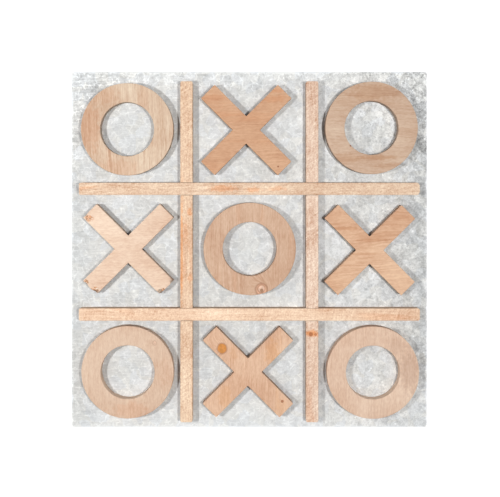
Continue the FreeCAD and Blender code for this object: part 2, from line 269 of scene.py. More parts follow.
class WoodGraph(Graph):
    """A graph that knows the way along and across the grain, at an angle to the X axis."""

    def __init__(self, name, seed, grain):
        super().__init__(name)
        self.grain = grain
        self.offset = 3.1 * seed
        self.along, self.across, self.deep = self.split(self.turned(self.place, -grain))[:3]
        self.spot = self.join(self.along, self.across, self.add(self.deep, self.offset))
        drift = self.less(self.noise(self.spot, scale=10.0, detail=3.0), 0.5)
        self.rings = self.add(self.across, self.times(self.deep, 0.35), self.times(drift, 0.014))
        self.ripple = self.less(self.noise(self.spot, scale=260.0, detail=2.0), 0.5)

    def reach_from(self, x, y, squeeze, uneven):
        """Uneven distance from a place, with the grain direction squeezed."""
        at_along = (x * math.cos(self.grain) + y * math.sin(self.grain)) * MM
        at_across = (y * math.cos(self.grain) - x * math.sin(self.grain)) * MM
        run = self.times(self.less(self.along, at_along), squeeze)
        reach = self.vector("LENGTH", self.join(run, self.less(self.across, at_across), 0.0))
        return self.add(reach, self.times(self.ripple, uneven * MM))

    def lines(self, scale_along, scale_across, detail, rough):
        """Noise drawn out along the grain, from -1 to 1."""
        drawn = self.join(
            self.times(self.along, scale_along),
            self.times(self.rings, scale_across),
            self.add(self.times(self.deep, 0.4 * scale_across), self.offset),
        )
        return self.signed(self.noise(drawn, detail=detail, rough=rough))

    def knot(self, x, y, radius, fill, rim_depth):
        """Masks of a knot's core and rim, and its colour. The growth rings bend round it."""
        reach = self.reach_from(x, y, 0.94, radius * 0.35)
        size = radius * MM
        self.rings = self.add(self.rings, self.ramp(reach, 0.0, size * 3.0, size * 1.5, 0.0))
        core = self.ramp(reach, size * 0.82, size * 1.08, 1.0, 0.0)
        rim = self.times(
            self.ramp(reach, size * 0.72, size, 0.0, rim_depth),
            self.ramp(reach, size, size * 1.3, 1.0, 0.0),
        )
        return core, rim, linear(*fill)

    def stained(self, stains):
        """Mask of all the stains together."""
        mask = 0.0
        for x, y, half_length, half_width, depth in stains:
            reach = self.reach_from(x, y, half_width / half_length, half_width * 1.6)
            patch = self.ramp(reach, half_width * 0.45 * MM, half_width * 1.2 * MM, depth, 0.0)
            mask = self.most(mask, patch)
        return mask

    def saw_marks(self, lean):
        """Slanted marks of the teeth, the patches where they show, and torn fibres."""
        slant = self.turned(self.join(self.along, self.across, self.deep), lean)
        slant = self.stretched(slant, 430.0, 70.0, 300.0)
        teeth = self.signed(self.noise(slant, detail=2.0, rough=0.6))
        patch = self.ramp(self.noise(self.spot, scale=34.0, detail=2.0), 0.4, 0.6, 0.3, 1.0)
        torn = self.signed(self.noise(self.spot, scale=640.0, detail=2.0, rough=0.75))
        return teeth, patch, torn

    def chipped(self, tint, height, chip):
        """The colour and height with one torn spot added."""
        x, y, radius = chip
        reach = self.reach_from(x, y, 0.8, radius * 0.9)
        mask = self.ramp(reach, radius * 0.55 * MM, radius * MM, 1.0, 0.0)
        splinter = self.noise(self.spot, scale=560.0, detail=2.0, rough=0.7)
        flecks = self.mix(self.ramp(splinter, 0.40, 0.46), SPLINTER_DARK, SPLINTER_ORANGE)
        flecks = self.mix(self.ramp(splinter, 0.56, 0.60), flecks, SPLINTER_PALE)
        tint = self.mix(self.times(mask, 0.75), tint, flecks)
        return tint, self.less(height, self.times(mask, self.times(splinter, 3.0)))

    def cut_sides(self):
        """Mask of the saw-cut sides: neither the planed top nor the back."""
        below_top = self.ramp(self.deep, CUT_BELOW, PLANED_ABOVE, 1.0, 0.0)
        return self.times(below_top, self.ramp(self.deep, 0.1 * MM, 0.6 * MM))

    def inner_corners(self, strength):
        """Mask that is strongest where the arms of a diagonal cross meet."""
        x, y = (self.size_of(value) for value in self.split(self.place)[:2])
        out = self.less(self.most(x, y), ARM_HALF * math.sqrt(2))
        gap = self.vector("LENGTH", self.join(out, self.math("MINIMUM", x, y), 0.0))
        return self.ramp(gap, 1.5 * MM, 5.0 * MM, strength, 0.0)


def wood(
    name,
    colour,
    seed,
    grain=0.0,
    contrast=1.0,
    streak=(205, 130, 80),
    streaks=0.25,
    knots=(),
    stains=(),
    chips=(),
    sawn=0.0,
    lean=0.5,
    sides=0.5,
    corner_shade=0.0,
):
    """Bare softwood. The grain runs at an angle to the piece's own X axis.

    Each knot is (x, y, radius, colour, depth of its rim). Each stain is (x, y, half
    length, half width, depth) with its length along the grain. Each chip is a torn
    spot (x, y, radius). All in millimetres. Lean is the slant of the saw marks on sawn
    wood. Sides is how dark the painted shade on the cut sides is, and the last argument
    is how dark the painted shade in a cross's inner corners is.
    """
    g = WoodGraph(name, seed, grain)
    eyes = [g.knot(*knot) for knot in knots]

    band = g.lines(5.0, 120.0, 4.0, 0.62)
    line = g.lines(16.0, 560.0, 3.0, 0.6)
    fibre = g.lines(34.0, 1500.0, 2.0, 0.65)
    pores = g.lines(210.0, 640.0, 2.0, 0.7)
    late = g.lines(10.0, 85.0, 4.0, 0.5)
    busy = g.noise(g.join(g.times(g.along, 14.0), g.times(g.across, 60.0), g.offset + 5))
    busy = g.ramp(busy, 0.36, 0.62, 0.35, 1.0)
    cloud = g.noise(g.spot, scale=26.0, detail=3.0)
    broad = g.noise(g.spot, scale=11.0, detail=1.0)
    dark = g.add(
        g.times(band, 0.30 * contrast),
        g.times(line, busy, 0.50 * contrast),
        g.times(fibre, 0.38 * contrast),
        g.times(pores, 0.34),
        g.ramp(cloud, 0.3, 0.7, -0.09, 0.09),
        g.ramp(broad, 0.3, 0.7, -0.10, 0.10),
    )
    height = g.add(g.times(fibre, 0.35), g.times(line, 0.3))
    roughness = 0.64
    if sawn:
        teeth, patch, torn = g.saw_marks(lean)
        dark = g.add(dark, g.times(teeth, patch, 0.48 * sawn), g.times(torn, 0.62 * sawn))
        height = g.less(height, g.times(teeth, 0.6 * sawn))
        height = g.less(height, g.times(torn, 0.8 * sawn))
        roughness = 0.78

    tint = g.mix(g.ramp(late, 0.1, 0.48, 0.0, streaks), linear(*colour), linear(*streak))
    if stains:
        tint = g.mix(g.stained(stains), tint, linear(*streak))
    # dark lines lose more blue than red
    fade = [g.less(1.0, g.times(dark, share)) for share in (0.55, 0.9, 1.1)]
    tint = g.mix(1.0, tint, g.join(*fade), "MULTIPLY")
    for chip in chips:
        tint, height = g.chipped(tint, height, chip)
    for core, rim, fill in eyes:
        mottled = g.mix(g.ramp(g.ripple, -0.2, 0.2), shade(fill, 0.86), shade(fill, 1.12))
        tint = g.mix(core, tint, mottled)
        tint = g.mix(rim, tint, KNOT_RIM)

    # painted shade: the cut sides are painted darker than the planed faces; the back is as pale
    # as the top
    cut = g.cut_sides()
    tint = g.mix(g.times(cut, sides), tint, shade(linear(*colour), 0.12))
    # painted shade: a cross's inner corners, where the two lamps' shadows meet, are painted near
    # black
    if corner_shade:
        tint = g.mix(g.times(cut, g.inner_corners(corner_shade)), tint, CORNER_SHADE)

    g.put(g.shader.inputs["Base Color"], tint)
    matt = g.ramp(fibre, -0.4, 0.4, roughness - 0.06, roughness + 0.06)
    g.put(g.shader.inputs["Roughness"], matt)
    g.shader.inputs["Specular IOR Level"].default_value = 0.35
    g.put(g.shader.inputs["Normal"], g.bump(height, 0.12 * MM, 0.55))
    return g.material


ZINC_BODY = 0.69
ZINC_BRIGHTEST = 0.97
CRYSTAL_WARP = 9.0 * MM
ZINC_TINTS = ((0.985, 0.993, 0.968), (0.962, 0.987, 0.995))


def galvanised(name, half_side):
    """Hot-dip zinc: mottled spangle with small bright flecks, coarser to the right."""
    g = Graph(name)
    # x and y run from -1 to 1 across the board
    x, y = g.split(g.scaled(g.place, 1 / half_side))[:2]
    z = g.split(g.place)[2]
    right = g.ramp(x, -0.3, 1.0)
    warp = g.noise(g.place, scale=70.0, detail=3.0, colour=True)
    warp = g.scaled(g.vector("SUBTRACT", warp, (0.5, 0.5, 0.5)), CRYSTAL_WARP)
    bent = g.vector("ADD", g.place, warp)
    large = g.split(g.cells(bent, 95.0))
    small = g.split(g.cells(bent, 240.0))
    fine = g.split(g.cells(bent, 560.0))
    feather = g.noise(bent, scale=130.0, detail=3.0, rough=0.65)
    grit = g.noise(g.place, scale=620.0, detail=2.0, rough=0.7)
    cloud = g.noise(g.place, scale=22.0, detail=4.0, rough=0.6)
    scratch = g.noise(g.stretched(g.place, 70.0, 620.0, 1.0), detail=2.0, rough=0.6)

    # pale outlines round some of the crystals
    rim = g.ramp(g.cells(bent, 150.0, "DISTANCE_TO_EDGE", "Distance"), 0.02, 0.11, 1.0, 0.0)
    broken = g.ramp(g.noise(g.place, scale=160.0, detail=1.0), 0.44, 0.58)
    rim = g.times(rim, broken, g.ramp(x, -0.3, 0.9, 0.15, 0.045))
    mottle = g.less(rim, 0.016)
    for layer, amount in (
        (large[0], 0.07),
        (small[1], 0.09),
        (fine[0], 0.07),
        (feather, 0.40),
        (grit, g.ramp(right, 0.0, 1.0, 0.12, 0.30)),
        (cloud, 0.26),
        (scratch, g.ramp(x, -0.35, 0.1, 0.34, 0.06)),
    ):
        mottle = g.add(mottle, g.times(g.less(layer, 0.5), amount))

    # the mottling is strongest in the upper corners and along the top
    corner = g.ramp(g.add(x, y), 1.15, 1.9, 0.0, 1.3)
    corner = g.most(corner, g.ramp(g.less(y, x), 1.35, 1.8, 0.0, 0.8))
    corner = g.most(corner, g.ramp(y, 0.80, 0.95, 0.0, 0.4))
    strength = g.add(0.75, g.times(right, 0.7), corner)

    # painted light and shade: the face is painted paler towards top and bottom, and darker at
    # left and right, but not in the lower right corner, and darker along the top
    body = g.add(ZINC_BODY, g.times(g.math("POWER", g.size_of(y), 4.0), 0.13))
    shaded_left_right = g.ramp(g.size_of(x), 0.72, 1.0, 0.0, 0.085)
    shaded_left_right = g.times(shaded_left_right, g.ramp(g.less(x, y), 1.3, 1.9, 1.0, 0.0))
    body = g.less(body, g.add(shaded_left_right, g.ramp(y, 0.6, 1.0, 0.0, 0.035)))
    value = g.add(body, g.times(mottle, strength))

    # a few crystals stand out almost white
    spot = g.ramp(g.cells(bent, 240.0, output="Distance"), 0.22, 0.42, 1.0, 0.0)
    chosen = g.ramp(small[2], 0.80, 0.86)
    value = g.add(value, g.times(spot, chosen, g.times(strength, 0.14)))

    # painted highlight and shade: the fold is painted brighter than the face, and the sides
    # darker
    edge = g.most(g.size_of(x), g.size_of(y))
    fold = g.ramp(z, FACE_Z - 2.5 * BEND, FACE_Z - BEND, 0.80, 1.3)
    fold_light_and_shade = g.times(g.ramp(edge, 0.984, 0.996), g.less(fold, 1.0))
    value = g.times(value, g.add(fold_light_and_shade, 1.0))
    value = g.math("MINIMUM", value, ZINC_BRIGHTEST)

    colour = g.mix(g.ramp(large[2], 0.2, 0.9), *ZINC_TINTS)
    g.put(g.shader.inputs["Base Color"], g.tone(colour, value))
    g.shader.inputs["Metallic"].default_value = 0.2
    gloss = g.add(0.50, g.times(large[1], 0.10), g.times(feather, 0.1))
    g.put(g.shader.inputs["Roughness"], gloss)
    height = g.add(g.times(small[1], 0.2), feather)
    g.put(g.shader.inputs["Normal"], g.bump(height, 0.15 * MM, 0.45))
    return g.material


def plated(name, colour, roughness, speckle=0.08):
    """Small bright-plated steel parts with fine handling marks."""
    g = Graph(name)
    marks = g.noise(g.place, scale=1800.0, detail=4.0, rough=0.7)
    haze = g.noise(g.place, scale=300.0, detail=2.0)
    tint = g.mix(g.ramp(haze, 0.35, 0.7), linear(*colour), shade(linear(*colour), 0.82))
    g.put(g.shader.inputs["Base Color"], tint)
    g.shader.inputs["Metallic"].default_value = 1.0
    matt = g.ramp(marks, 0.3, 0.7, roughness - speckle, roughness + speckle)
    g.put(g.shader.inputs["Roughness"], matt)
    g.put(g.shader.inputs["Normal"], g.bump(marks, 0.03 * MM, 0.4))
    return g.material


def fibreboard(name):
    """Pressed wood fibre, darker in places."""
    g = Graph(name)
    fuzz = g.noise(g.place, scale=1400.0, detail=4.0, rough=0.75)
    chips = g.noise(g.stretched(g.place, 1.0, 1.6, 4.0), scale=260.0, detail=3.0, rough=0.7)
    cloud = g.noise(g.place, scale=20.0, detail=2.0)
    tint = g.mix(g.ramp(chips, 0.35, 0.68), linear(178, 146, 108), linear(150, 116, 80))
    tint = g.mix(g.ramp(fuzz, 0.5, 0.75, 0.0, 0.35), tint, linear(206, 178, 140))
    g.put(g.shader.inputs["Base Color"], g.tone(tint, g.ramp(cloud, 0.3, 0.7, 1.05, 0.9)))
    g.shader.inputs["Roughness"].default_value = 0.85
    g.put(g.shader.inputs["Normal"], g.bump(fuzz, 0.15 * MM, 0.5))
    return g.material


def rubber(name):
    """Black rubber with a little dust on it."""
    g = Graph(name)
    grit = g.noise(g.place, scale=2200.0, detail=3.0, rough=0.7)
    dust = g.noise(g.place, scale=180.0, detail=3.0)
    tint = g.mix(g.ramp(dust, 0.45, 0.75, 0.0, 0.5), linear(38, 38, 39), linear(84, 82, 78))
    g.put(g.shader.inputs["Base Color"], tint)
    g.shader.inputs["Roughness"].default_value = 0.78
    g.put(g.shader.inputs["Normal"], g.bump(grit, 0.06 * MM, 0.5))
    return g.material


# ------------------------------------------------------------------ board


SHEET_LOW, SHEET_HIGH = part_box("sheet_cover")
HALF_SIDE = SHEET_HIGH.x
FACE_Z = SHEET_HIGH.z
BACK_Z = SHEET_LOW.z
GAUGE = 0.6 * MM
BEND = 2.2 * MM
CORNER = 2.6 * MM
FOLD_START = CORNER - BEND
RIPPLE = 0.06 * MM
DEEPEST_SAG = 0.55 * MM
DENTS = (
    # x, y, half length and half width as parts of the board's side, degrees, depth in mm
    (-0.470, 0.460, 0.018, 0.0042, -62, 0.42),
    (-0.395, 0.468, 0.020, 0.0045, -48, 0.36),
    (0.402, 0.300, 0.028, 0.0050, -52, 0.30),
    (0.462, 0.462, 0.020, 0.0120, 40, 0.35),
    (-0.455, -0.470, 0.016, 0.0090, 30, 0.30),
)


def sheet_sag(x, y):
    """How far the face lies below flat: waves between its fixings, and small dents."""
    depth = 0.10 * (wobble(x * 9, y * 9, 0.0, 1) + 1.0)
    depth += 0.05 * (wobble(x * 30, y * 30, 0, 2) + 1.0)
    side = 2 * HALF_SIDE
    for dent_x, dent_y, long, wide, degrees, deep in DENTS:
        angle = math.radians(degrees)
        dx = x / side - dent_x
        dy = y / side - dent_y
        u = (dx * math.cos(angle) + dy * math.sin(angle)) / long
        v = (-dx * math.sin(angle) + dy * math.cos(angle)) / wide
        depth += deep * math.exp(-(u * u + v * v))
    return min(depth * MM, DEEPEST_SAG)


SHEET_CELLS = 176
SHEET_SHARP = 50.0
BEND_STEPS = 6
# directions of the spokes round a corner; below the fold the seam is open after one of them
CORNER_FAN = (0.0, 12.0, 24.0, 36.0, 41.5, 48.5, 54.0, 66.0, 78.0, 90.0)
SEAM_TURN = 41.5


def sheet_face(bm):
    """The face as a grid that follows its sag. Returns the vertices by grid place."""
    flat = HALF_SIDE - CORNER
    ticks = [flat * (2 * n / SHEET_CELLS - 1) for n in range(SHEET_CELLS + 1)]
    grid = {}
    for i, x in enumerate(ticks):
        for j, y in enumerate(ticks):
            grid[i, j] = bm.verts.new((x, y, FACE_Z - sheet_sag(x, y)))
    for i in range(SHEET_CELLS):
        for j in range(SHEET_CELLS):
            bm.faces.new((grid[i, j], grid[i + 1, j], grid[i + 1, j + 1], grid[i, j + 1]))
    return grid


def edge_spokes(grid):
    """Walk round the face's edge; every spoke is (vertex, outward direction, corner turn)."""
    spokes = []
    sides = (
        ([(i, 0) for i in range(SHEET_CELLS + 1)], -90.0),
        ([(SHEET_CELLS, j) for j in range(SHEET_CELLS + 1)], 0.0),
        ([(i, SHEET_CELLS) for i in range(SHEET_CELLS, -1, -1)], 90.0),
        ([(0, j) for j in range(SHEET_CELLS, -1, -1)], 180.0),
    )
    for keys, heading in sides:
        for key in keys[:-1]:
            spokes.append((grid[key], heading, 0.0))
        for turn in CORNER_FAN:
            spokes.append((grid[keys[-1]], heading + turn, turn))
    return spokes


def fold_profile():
    """(outward, z) points over the fold, down the side and in along the return flange."""
    profile = [(FOLD_START, FACE_Z)]
    for n in range(1, BEND_STEPS + 1):
        angle = 0.5 * math.pi * n / BEND_STEPS
        drop = BEND * (1 - math.cos(angle))
        profile.append((FOLD_START + BEND * math.sin(angle), FACE_Z - drop))
    for part in (0.32, 0.45, 0.58, 0.7):
        profile.append((CORNER, FACE_Z - (FACE_Z - BACK_Z) * part))
    for n in range(BEND_STEPS + 1):
        angle = 0.5 * math.pi * n / BEND_STEPS
        rise = BEND * (1 - math.sin(angle))
        profile.append((FOLD_START + BEND * math.cos(angle), BACK_Z + rise))
    for inward in (0.0, -4.0, -8.0, -12.5):
        profile.append((inward * MM, BACK_Z))
    return profile


def fold_point(vertex, heading, out, z):
    """Where a spoke passes through one point of the fold's profile."""
    angle = math.radians(heading)
    x, y = vertex.co.x, vertex.co.y
    if out < 0:
        # the flanges are mitred, so nothing reaches past the diagonal
        limit = HALF_SIDE - CORNER + out
        x = max(-limit, min(limit, x))
        y = max(-limit, min(limit, y))
    else:
        x += out * math.cos(angle)
        y += out * math.sin(angle)
    ripple = 0.0
    if out >= FOLD_START:
        ripple = RIPPLE * wobble(x * 22, y * 22, z * 60, 3)
    inset = 1.0 - (ripple + RIPPLE) / HALF_SIDE
    sag = sheet_sag(x, y) if z > FACE_Z - BEND else 0.0
    if out > FOLD_START:
        sag *= 0.4
    return x * inset, y * inset, z - sag


def make_sheet():
    """The folded sheet as one skin, thickened afterwards."""
    bm = bmesh.new()
    spokes = edge_spokes(sheet_face(bm))
    rows = [[vertex for vertex, heading, turn in spokes]]
    for out, z in fold_profile():
        points = [fold_point(vertex, heading, out, z) for vertex, heading, turn in spokes]
        rows.append([bm.verts.new(point) for point in points])
    for level, (upper, lower) in enumerate(zip(rows, rows[1:])):
        for n, (vertex, heading, turn) in enumerate(spokes):
            if turn == SEAM_TURN and level > BEND_STEPS:
                continue
            m = (n + 1) % len(spokes)
            corners = []
            for corner in (upper[n], upper[m], lower[m], lower[n]):
                if corner not in corners:
                    corners.append(corner)
            if len(corners) > 2:
                bm.faces.new(corners)
    piece = finish_mesh("galvanised_sheet", bm, SHEET_SHARP)
    thick = piece.modifiers.new("gauge", "SOLIDIFY")
    thick.thickness = GAUGE * 0.9
    thick.offset = -1.0
    apply_modifiers(piece, SHEET_SHARP)
    piece.data.materials.append(galvanised("zinc_spangle", HALF_SIDE))
    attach(piece, "board")
    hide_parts("sheet_cover")
    return piece


make_sheet()


# ------------------------------------------------------------------ strips


def strip_section(half_width, low, high, ease):
    """Points round a strip's cross-section, from one lower corner to the other and back."""
    points = []
    for part in (0.0, 0.25, 0.5, 0.75):
        points.append((-half_width, low + (high - ease - low) * part))
    for n in range(4):
        angle = 0.5 * math.pi * n / 3
        inset = ease * (1 - math.cos(angle))
        points.append((-half_width + inset, high - ease * (1 - math.sin(angle))))
    inner = half_width - ease
    points += [(inner * part, high) for part in (-0.75, -0.5, -0.25, 0.0, 0.25, 0.5, 0.75)]
    for n in range(4):
        angle = 0.5 * math.pi * n / 3
        inset = ease * (1 - math.sin(angle))
        points.append((half_width - inset, high - ease * (1 - math.cos(angle))))
    for part in (0.75, 0.5, 0.25, 0.0):
        points.append((half_width, low + (high - ease - low) * part))
    points += [(half_width * part, low) for part in (0.5, 0.0, -0.5)]
    return points


STRIP_STEP = 1.5 * MM
LAP_CLEARANCE = 0.15 * MM
LAP_STEP = 0.01 * MM
STATION_GAP = 0.2 * MM
SAW_ROUGHNESS = 0.10 * MM
SAW_DIP = 0.06 * MM
BOW = 0.12 * MM


def strip_stations(length, lap):
    """Places along a strip where its section is drawn, each with whether it is half-lapped."""
    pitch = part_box("strip_right")[0].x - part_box("strip_left")[0].x
    count = int(length / STRIP_STEP)
    stations = [(-length / 2 + length * n / count, False) for n in range(count + 1)]
    for middle in (-pitch / 2, pitch / 2):
        stations = [s for s in stations if abs(s[0] - middle) > lap + STATION_GAP]
        stations += [
            (middle - lap - LAP_STEP, False),
            (middle - lap, True),
            (middle - lap / 2, True),
            (middle, True),
            (middle + lap / 2, True),
            (middle + lap, True),
            (middle + lap + LAP_STEP, False),
        ]
    return sorted(stations)


def make_strip(node, seed, end_round, finish):
    """Rough-sawn square strip with its two half-laps. End_round has both ends' radii."""
    low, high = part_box(node)
    size = high - low
    across = size.x > size.y
    length = max(size.x, size.y)
    half_width = min(size.x, size.y) / 2
    height = size.z
    bm = bmesh.new()
    rings = []
    for place, lapped in strip_stations(length, half_width + LAP_CLEARANCE):
        floor = height / 2 if lapped and across else 0.0
        top = height / 2 if lapped and not across else height
        from_end = length / 2 - abs(place)
        radius = end_round[0] if place < 0 else end_round[1]
        pinch = 0.0
        if from_end < radius:
            pinch = radius - math.sqrt(radius**2 - (radius - from_end) ** 2)
        ease = 0.45 * MM + 0.25 * MM * (1 + wobble(place * 140, seed, 0, 5))
        ring = []
        for y, z in strip_section(half_width - SAW_ROUGHNESS - pinch, floor, top, ease):
            rough = SAW_ROUGHNESS * wobble(place * 600, y * 260, z * 260, seed)
            bow = BOW * wobble(place * 11, 0, 0, seed + 3)
            side = y / half_width
            y_out = y + rough * side + bow
            z_out = z
            if z > 0.6 * height and not lapped:
                z_out = min(z + rough - SAW_DIP, height)
            ring.append(bm.verts.new((place, y_out, z_out)))
        rings.append(ring)
    for first, second in zip(rings, rings[1:]):
        for n in range(len(first)):
            m = (n + 1) % len(first)
            bm.faces.new((first[n], second[n], second[m], first[m]))
    bm.faces.new(rings[0])
    bm.faces.new(list(reversed(rings[-1])))
    if not across:
        turn = Matrix.Rotation(math.pi / 2, 3, "Z")
        bmesh.ops.rotate(bm, verts=bm.verts, cent=(0, 0, 0), matrix=turn)
    middle = (low + high) / 2
    piece = finish_mesh(node + "_sawn", bm, 38.0, (middle.x, middle.y, low.z))
    piece.data.materials.append(finish)
    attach(piece, "board")
    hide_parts(node)
    return piece


# ------------------------------------------------------------------ rings


RING_OUTER = 51.3 * MM
RING_INNER = 29.9 * MM
MAGNET_ORBIT = 40.6 * MM
SEAT_RADIUS = 5.1 * MM
SEAT_DEPTH = 2.1 * MM
EDGE_EASE = 0.75 * MM
OUT_OF_ROUND = 0.22 * MM
SAW_WAVER = 0.07 * MM
SANDED_DIP = 0.05 * MM
SIDE_DEPTH = 2 * MM
RING_STEPS = 240


def make_ring(node, turn, seed, finish):
    """Sawn and sanded ring, a little out of true. Its first magnet sits at turn degrees."""
    low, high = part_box(node)
    middle = (low + high) / 2
    height = high.z - low.z
    side = eased_outline(height, EDGE_EASE)
    band = RING_OUTER - RING_INNER
    profile = [(RING_OUTER - inset, z) for inset, z in side]
    profile += [(RING_INNER + band * part, height) for part in (0.75, 0.5, 0.25)]
    profile += [(RING_INNER + inset, z) for inset, z in reversed(side)]
    profile += [(RING_INNER + band * part, 0.0) for part in (0.33, 0.66)]
    bm = bmesh.new()
    rows = []
    for n in range(RING_STEPS):
        angle = 2 * math.pi * n / RING_STEPS
        cos, sin = math.cos(angle), math.sin(angle)
        row = []
        for radius, z in profile:
            outside = radius > (RING_OUTER + RING_INNER) / 2
            drift = OUT_OF_ROUND * wobble(cos * 1.7, sin * 1.7, 0.0, seed + (0 if outside else 7))
            drift += SAW_WAVER * wobble(cos * 14, sin * 14, z * 80, seed + 11)
            on_side = radius < RING_INNER + SIDE_DEPTH or radius > RING_OUTER - SIDE_DEPTH
            out = min(radius + (drift if on_side else 0.0), RING_OUTER)
            if z > height / 2:
                z += SANDED_DIP * (wobble(cos * out * 60, sin * out * 60, 0, seed) - 1)
            row.append(bm.verts.new((out * cos, out * sin, z)))
        rows.append(row)
    for first, second in zip(rows, rows[1:] + rows[:1]):
        for n in range(len(profile)):
            m = (n + 1) % len(profile)
            bm.faces.new((first[n], second[n], second[m], first[m]))
    piece = finish_mesh(node + "_sanded", bm, 40.0, (middle.x, middle.y, low.z))
    seats = []
    for share in range(3):
        angle = math.radians(turn + 120 * share)
        seats.append((MAGNET_ORBIT * math.cos(angle), MAGNET_ORBIT * math.sin(angle)))
    drill_seats(piece, seats, SEAT_RADIUS, SEAT_DEPTH)
    piece.data.materials.append(finish)
    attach(piece, node)
    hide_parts(node)
    return piece


# ------------------------------------------------------------------ crosses


CROSS_HALF = 60.3 * MM
CROSS_SEAT = 37.0 * MM
ARM_STEPS = 34
MIDDLE_STEPS = 14


def cross_blank(height):
    """Square-edged upright cross as a mesh of small cells, its back at z = 0."""
    reach = CROSS_HALF - ARM_HALF
    ticks = [-CROSS_HALF + reach * n / ARM_STEPS for n in range(ARM_STEPS)]
    ticks += [-ARM_HALF + 2 * ARM_HALF * n / MIDDLE_STEPS for n in range(MIDDLE_STEPS)]
    ticks += [ARM_HALF + reach * n / ARM_STEPS for n in range(ARM_STEPS + 1)]
    in_arm = range(ARM_STEPS, ARM_STEPS + MIDDLE_STEPS)
    last = len(ticks) - 1
    levels = [height * part for part in (0.0, 0.15, 0.4, 0.65, 0.88, 1.0)]
    top = len(levels) - 1
    bm = bmesh.new()
    made = {}

    def vertex(i, j, level):
        key = (i, j, level)
        if key not in made:
            made[key] = bm.verts.new((ticks[i], ticks[j], levels[level]))
        return made[key]

    def inside(i, j):
        within = 0 <= i < last and 0 <= j < last
        return within and (i in in_arm or j in in_arm)

    cells = [(i, j) for i in range(last) for j in range(last) if inside(i, j)]
    for i, j in cells:
        corners = ((i, j), (i + 1, j), (i + 1, j + 1), (i, j + 1))
        neighbours = ((i, j - 1), (i + 1, j), (i, j + 1), (i - 1, j))
        for level in (0, top):
            bm.faces.new([vertex(a, b, level) for a, b in corners])
        for (a, b), (c, d), beside in zip(corners, corners[1:] + corners[:1], neighbours):
            if inside(*beside):
                continue
            for level in range(top):
                low_pair = (vertex(a, b, level), vertex(c, d, level))
                high_pair = (vertex(c, d, level + 1), vertex(a, b, level + 1))
                bm.faces.new(low_pair + high_pair)
    return bm


def wear_down(piece, height, seed, wear):
    """Sand the top a little uneven, and crumble the worn corners."""
    for point in piece.data.vertices:
        x, y, z = point.co
        if z < 0.3 * height:
            continue
        sink = SANDED_DIP * (1 - wobble(x * 60, y * 60, 0, seed))
        for wear_x, wear_y, spread, bite in wear:
            away = math.hypot(x - wear_x * MM, y - wear_y * MM) / (spread * MM)
            if away < 1.6:
                crumble = 0.7 + 0.6 * wobble(x * 420, y * 420, z * 200, seed + 2)
                worn = bite * MM * crumble * math.exp(-2.2 * away * away)
                sink += worn * (0.4 + 0.6 * z / height)
                pull = 0.55 * worn / max(math.hypot(x, y), 1 * MM)
                point.co.x -= x * pull
                point.co.y -= y * pull
        point.co.z = z - sink * (z / height)


def make_cross(node, turn, seed, finish, wear=()):
    """Cross sawn from one plank, turned by some degrees.

    Each wear is (x, y, spread, bite) in millimetres from the cross's middle, with x and
    y along the board's sides.
    """
    low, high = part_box(node)
    middle = (low + high) / 2
    height = high.z - low.z
    angle = math.radians(turn)
    bm = cross_blank(height)
    turned = Matrix.Rotation(angle, 3, "Z")
    bmesh.ops.rotate(bm, verts=bm.verts, cent=(0, 0, 0), matrix=turned)
    piece = finish_mesh(node + "_sanded", bm, 30.0, (middle.x, middle.y, low.z))
    ease = piece.modifiers.new("ease", "BEVEL")
    ease.width = EDGE_EASE
    ease.segments = 3
    ease.limit_method = "ANGLE"
    ease.angle_limit = math.radians(40)
    apply_modifiers(piece)
    seat_x, seat_y = CROSS_SEAT * math.cos(angle), CROSS_SEAT * math.sin(angle)
    drill_seats(piece, [(-seat_x, -seat_y), (seat_x, seat_y)], SEAT_RADIUS, SEAT_DEPTH)
    wear_down(piece, height, seed, wear)
    piece.data.materials.append(finish)
    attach(piece, node)
    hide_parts(node)
    return piece


# ------------------------------------------------------------------ the pieces


# the grain of most pieces runs up the board, a quarter turn from X
QUARTER = math.pi / 2
ORANGE = (232, 158, 104)

make_strip(
    "strip_left",
    seed=1,
    end_round=(0.9 * MM, 0.9 * MM),
    finish=wood(
        "strip_left_sawn",
        (231, 197, 167),
        seed=1,
        grain=QUARTER,
        contrast=0.8,
        streak=ORANGE,
        streaks=0.4,
        stains=(
            (-5.2, 4, 62, 1.5, 0.75),
            (3.6, 44, 5, 3.0, 0.6),
            (4.0, -29, 5, 3.2, 0.45),
            (-1, 22, 14, 3, 0.3),
        ),
        sawn=1.1,
        lean=-0.6,
    ),
)
make_strip(
    "strip_right",
    seed=2,
    end_round=(0.9 * MM, 0.9 * MM),
    finish=wood(
        "strip_right_sawn",
        (231, 200, 177),
        seed=2,
        grain=QUARTER,
        contrast=0.8,
        streak=ORANGE,
        streaks=0.3,
        knots=((-1.6, -91.6, 1.9, (196, 124, 84), 0.6), (3.6, -91.8, 1.4, (200, 128, 86), 0.4)),
        stains=((0, -90.6, 3.4, 9, 0.95), (-1, -88.4, 2.8, 4, 0.7), (0, -92.8, 1.8, 9, 0.6)),
        sawn=1.15,
        lean=-0.6,
    ),
)
make_strip(
    "strip_upper",
    seed=3,
    end_round=(1.0 * MM, 3.0 * MM),
    finish=wood(
        "strip_upper_sawn",
        (228, 196, 168),
        seed=3,
        grain=0.0,
        contrast=0.8,
        streak=ORANGE,
        streaks=0.4,
        stains=((-30, 0.5, 16, 4.2, 0.5), (4, -1, 9, 3.5, 0.5), (32, 0.5, 10, 3.2, 0.35)),
        sawn=1.0,
        lean=1.35,
    ),
)
make_strip(
    "strip_lower",
    seed=4,
    end_round=(0.9 * MM, 1.2 * MM),
    finish=wood(
        "strip_lower_sawn",
        (238, 203, 173),
        seed=4,
        grain=0.0,
        contrast=0.7,
        streak=ORANGE,
        streaks=0.25,
        sawn=0.85,
        lean=0.2,
    ),
)

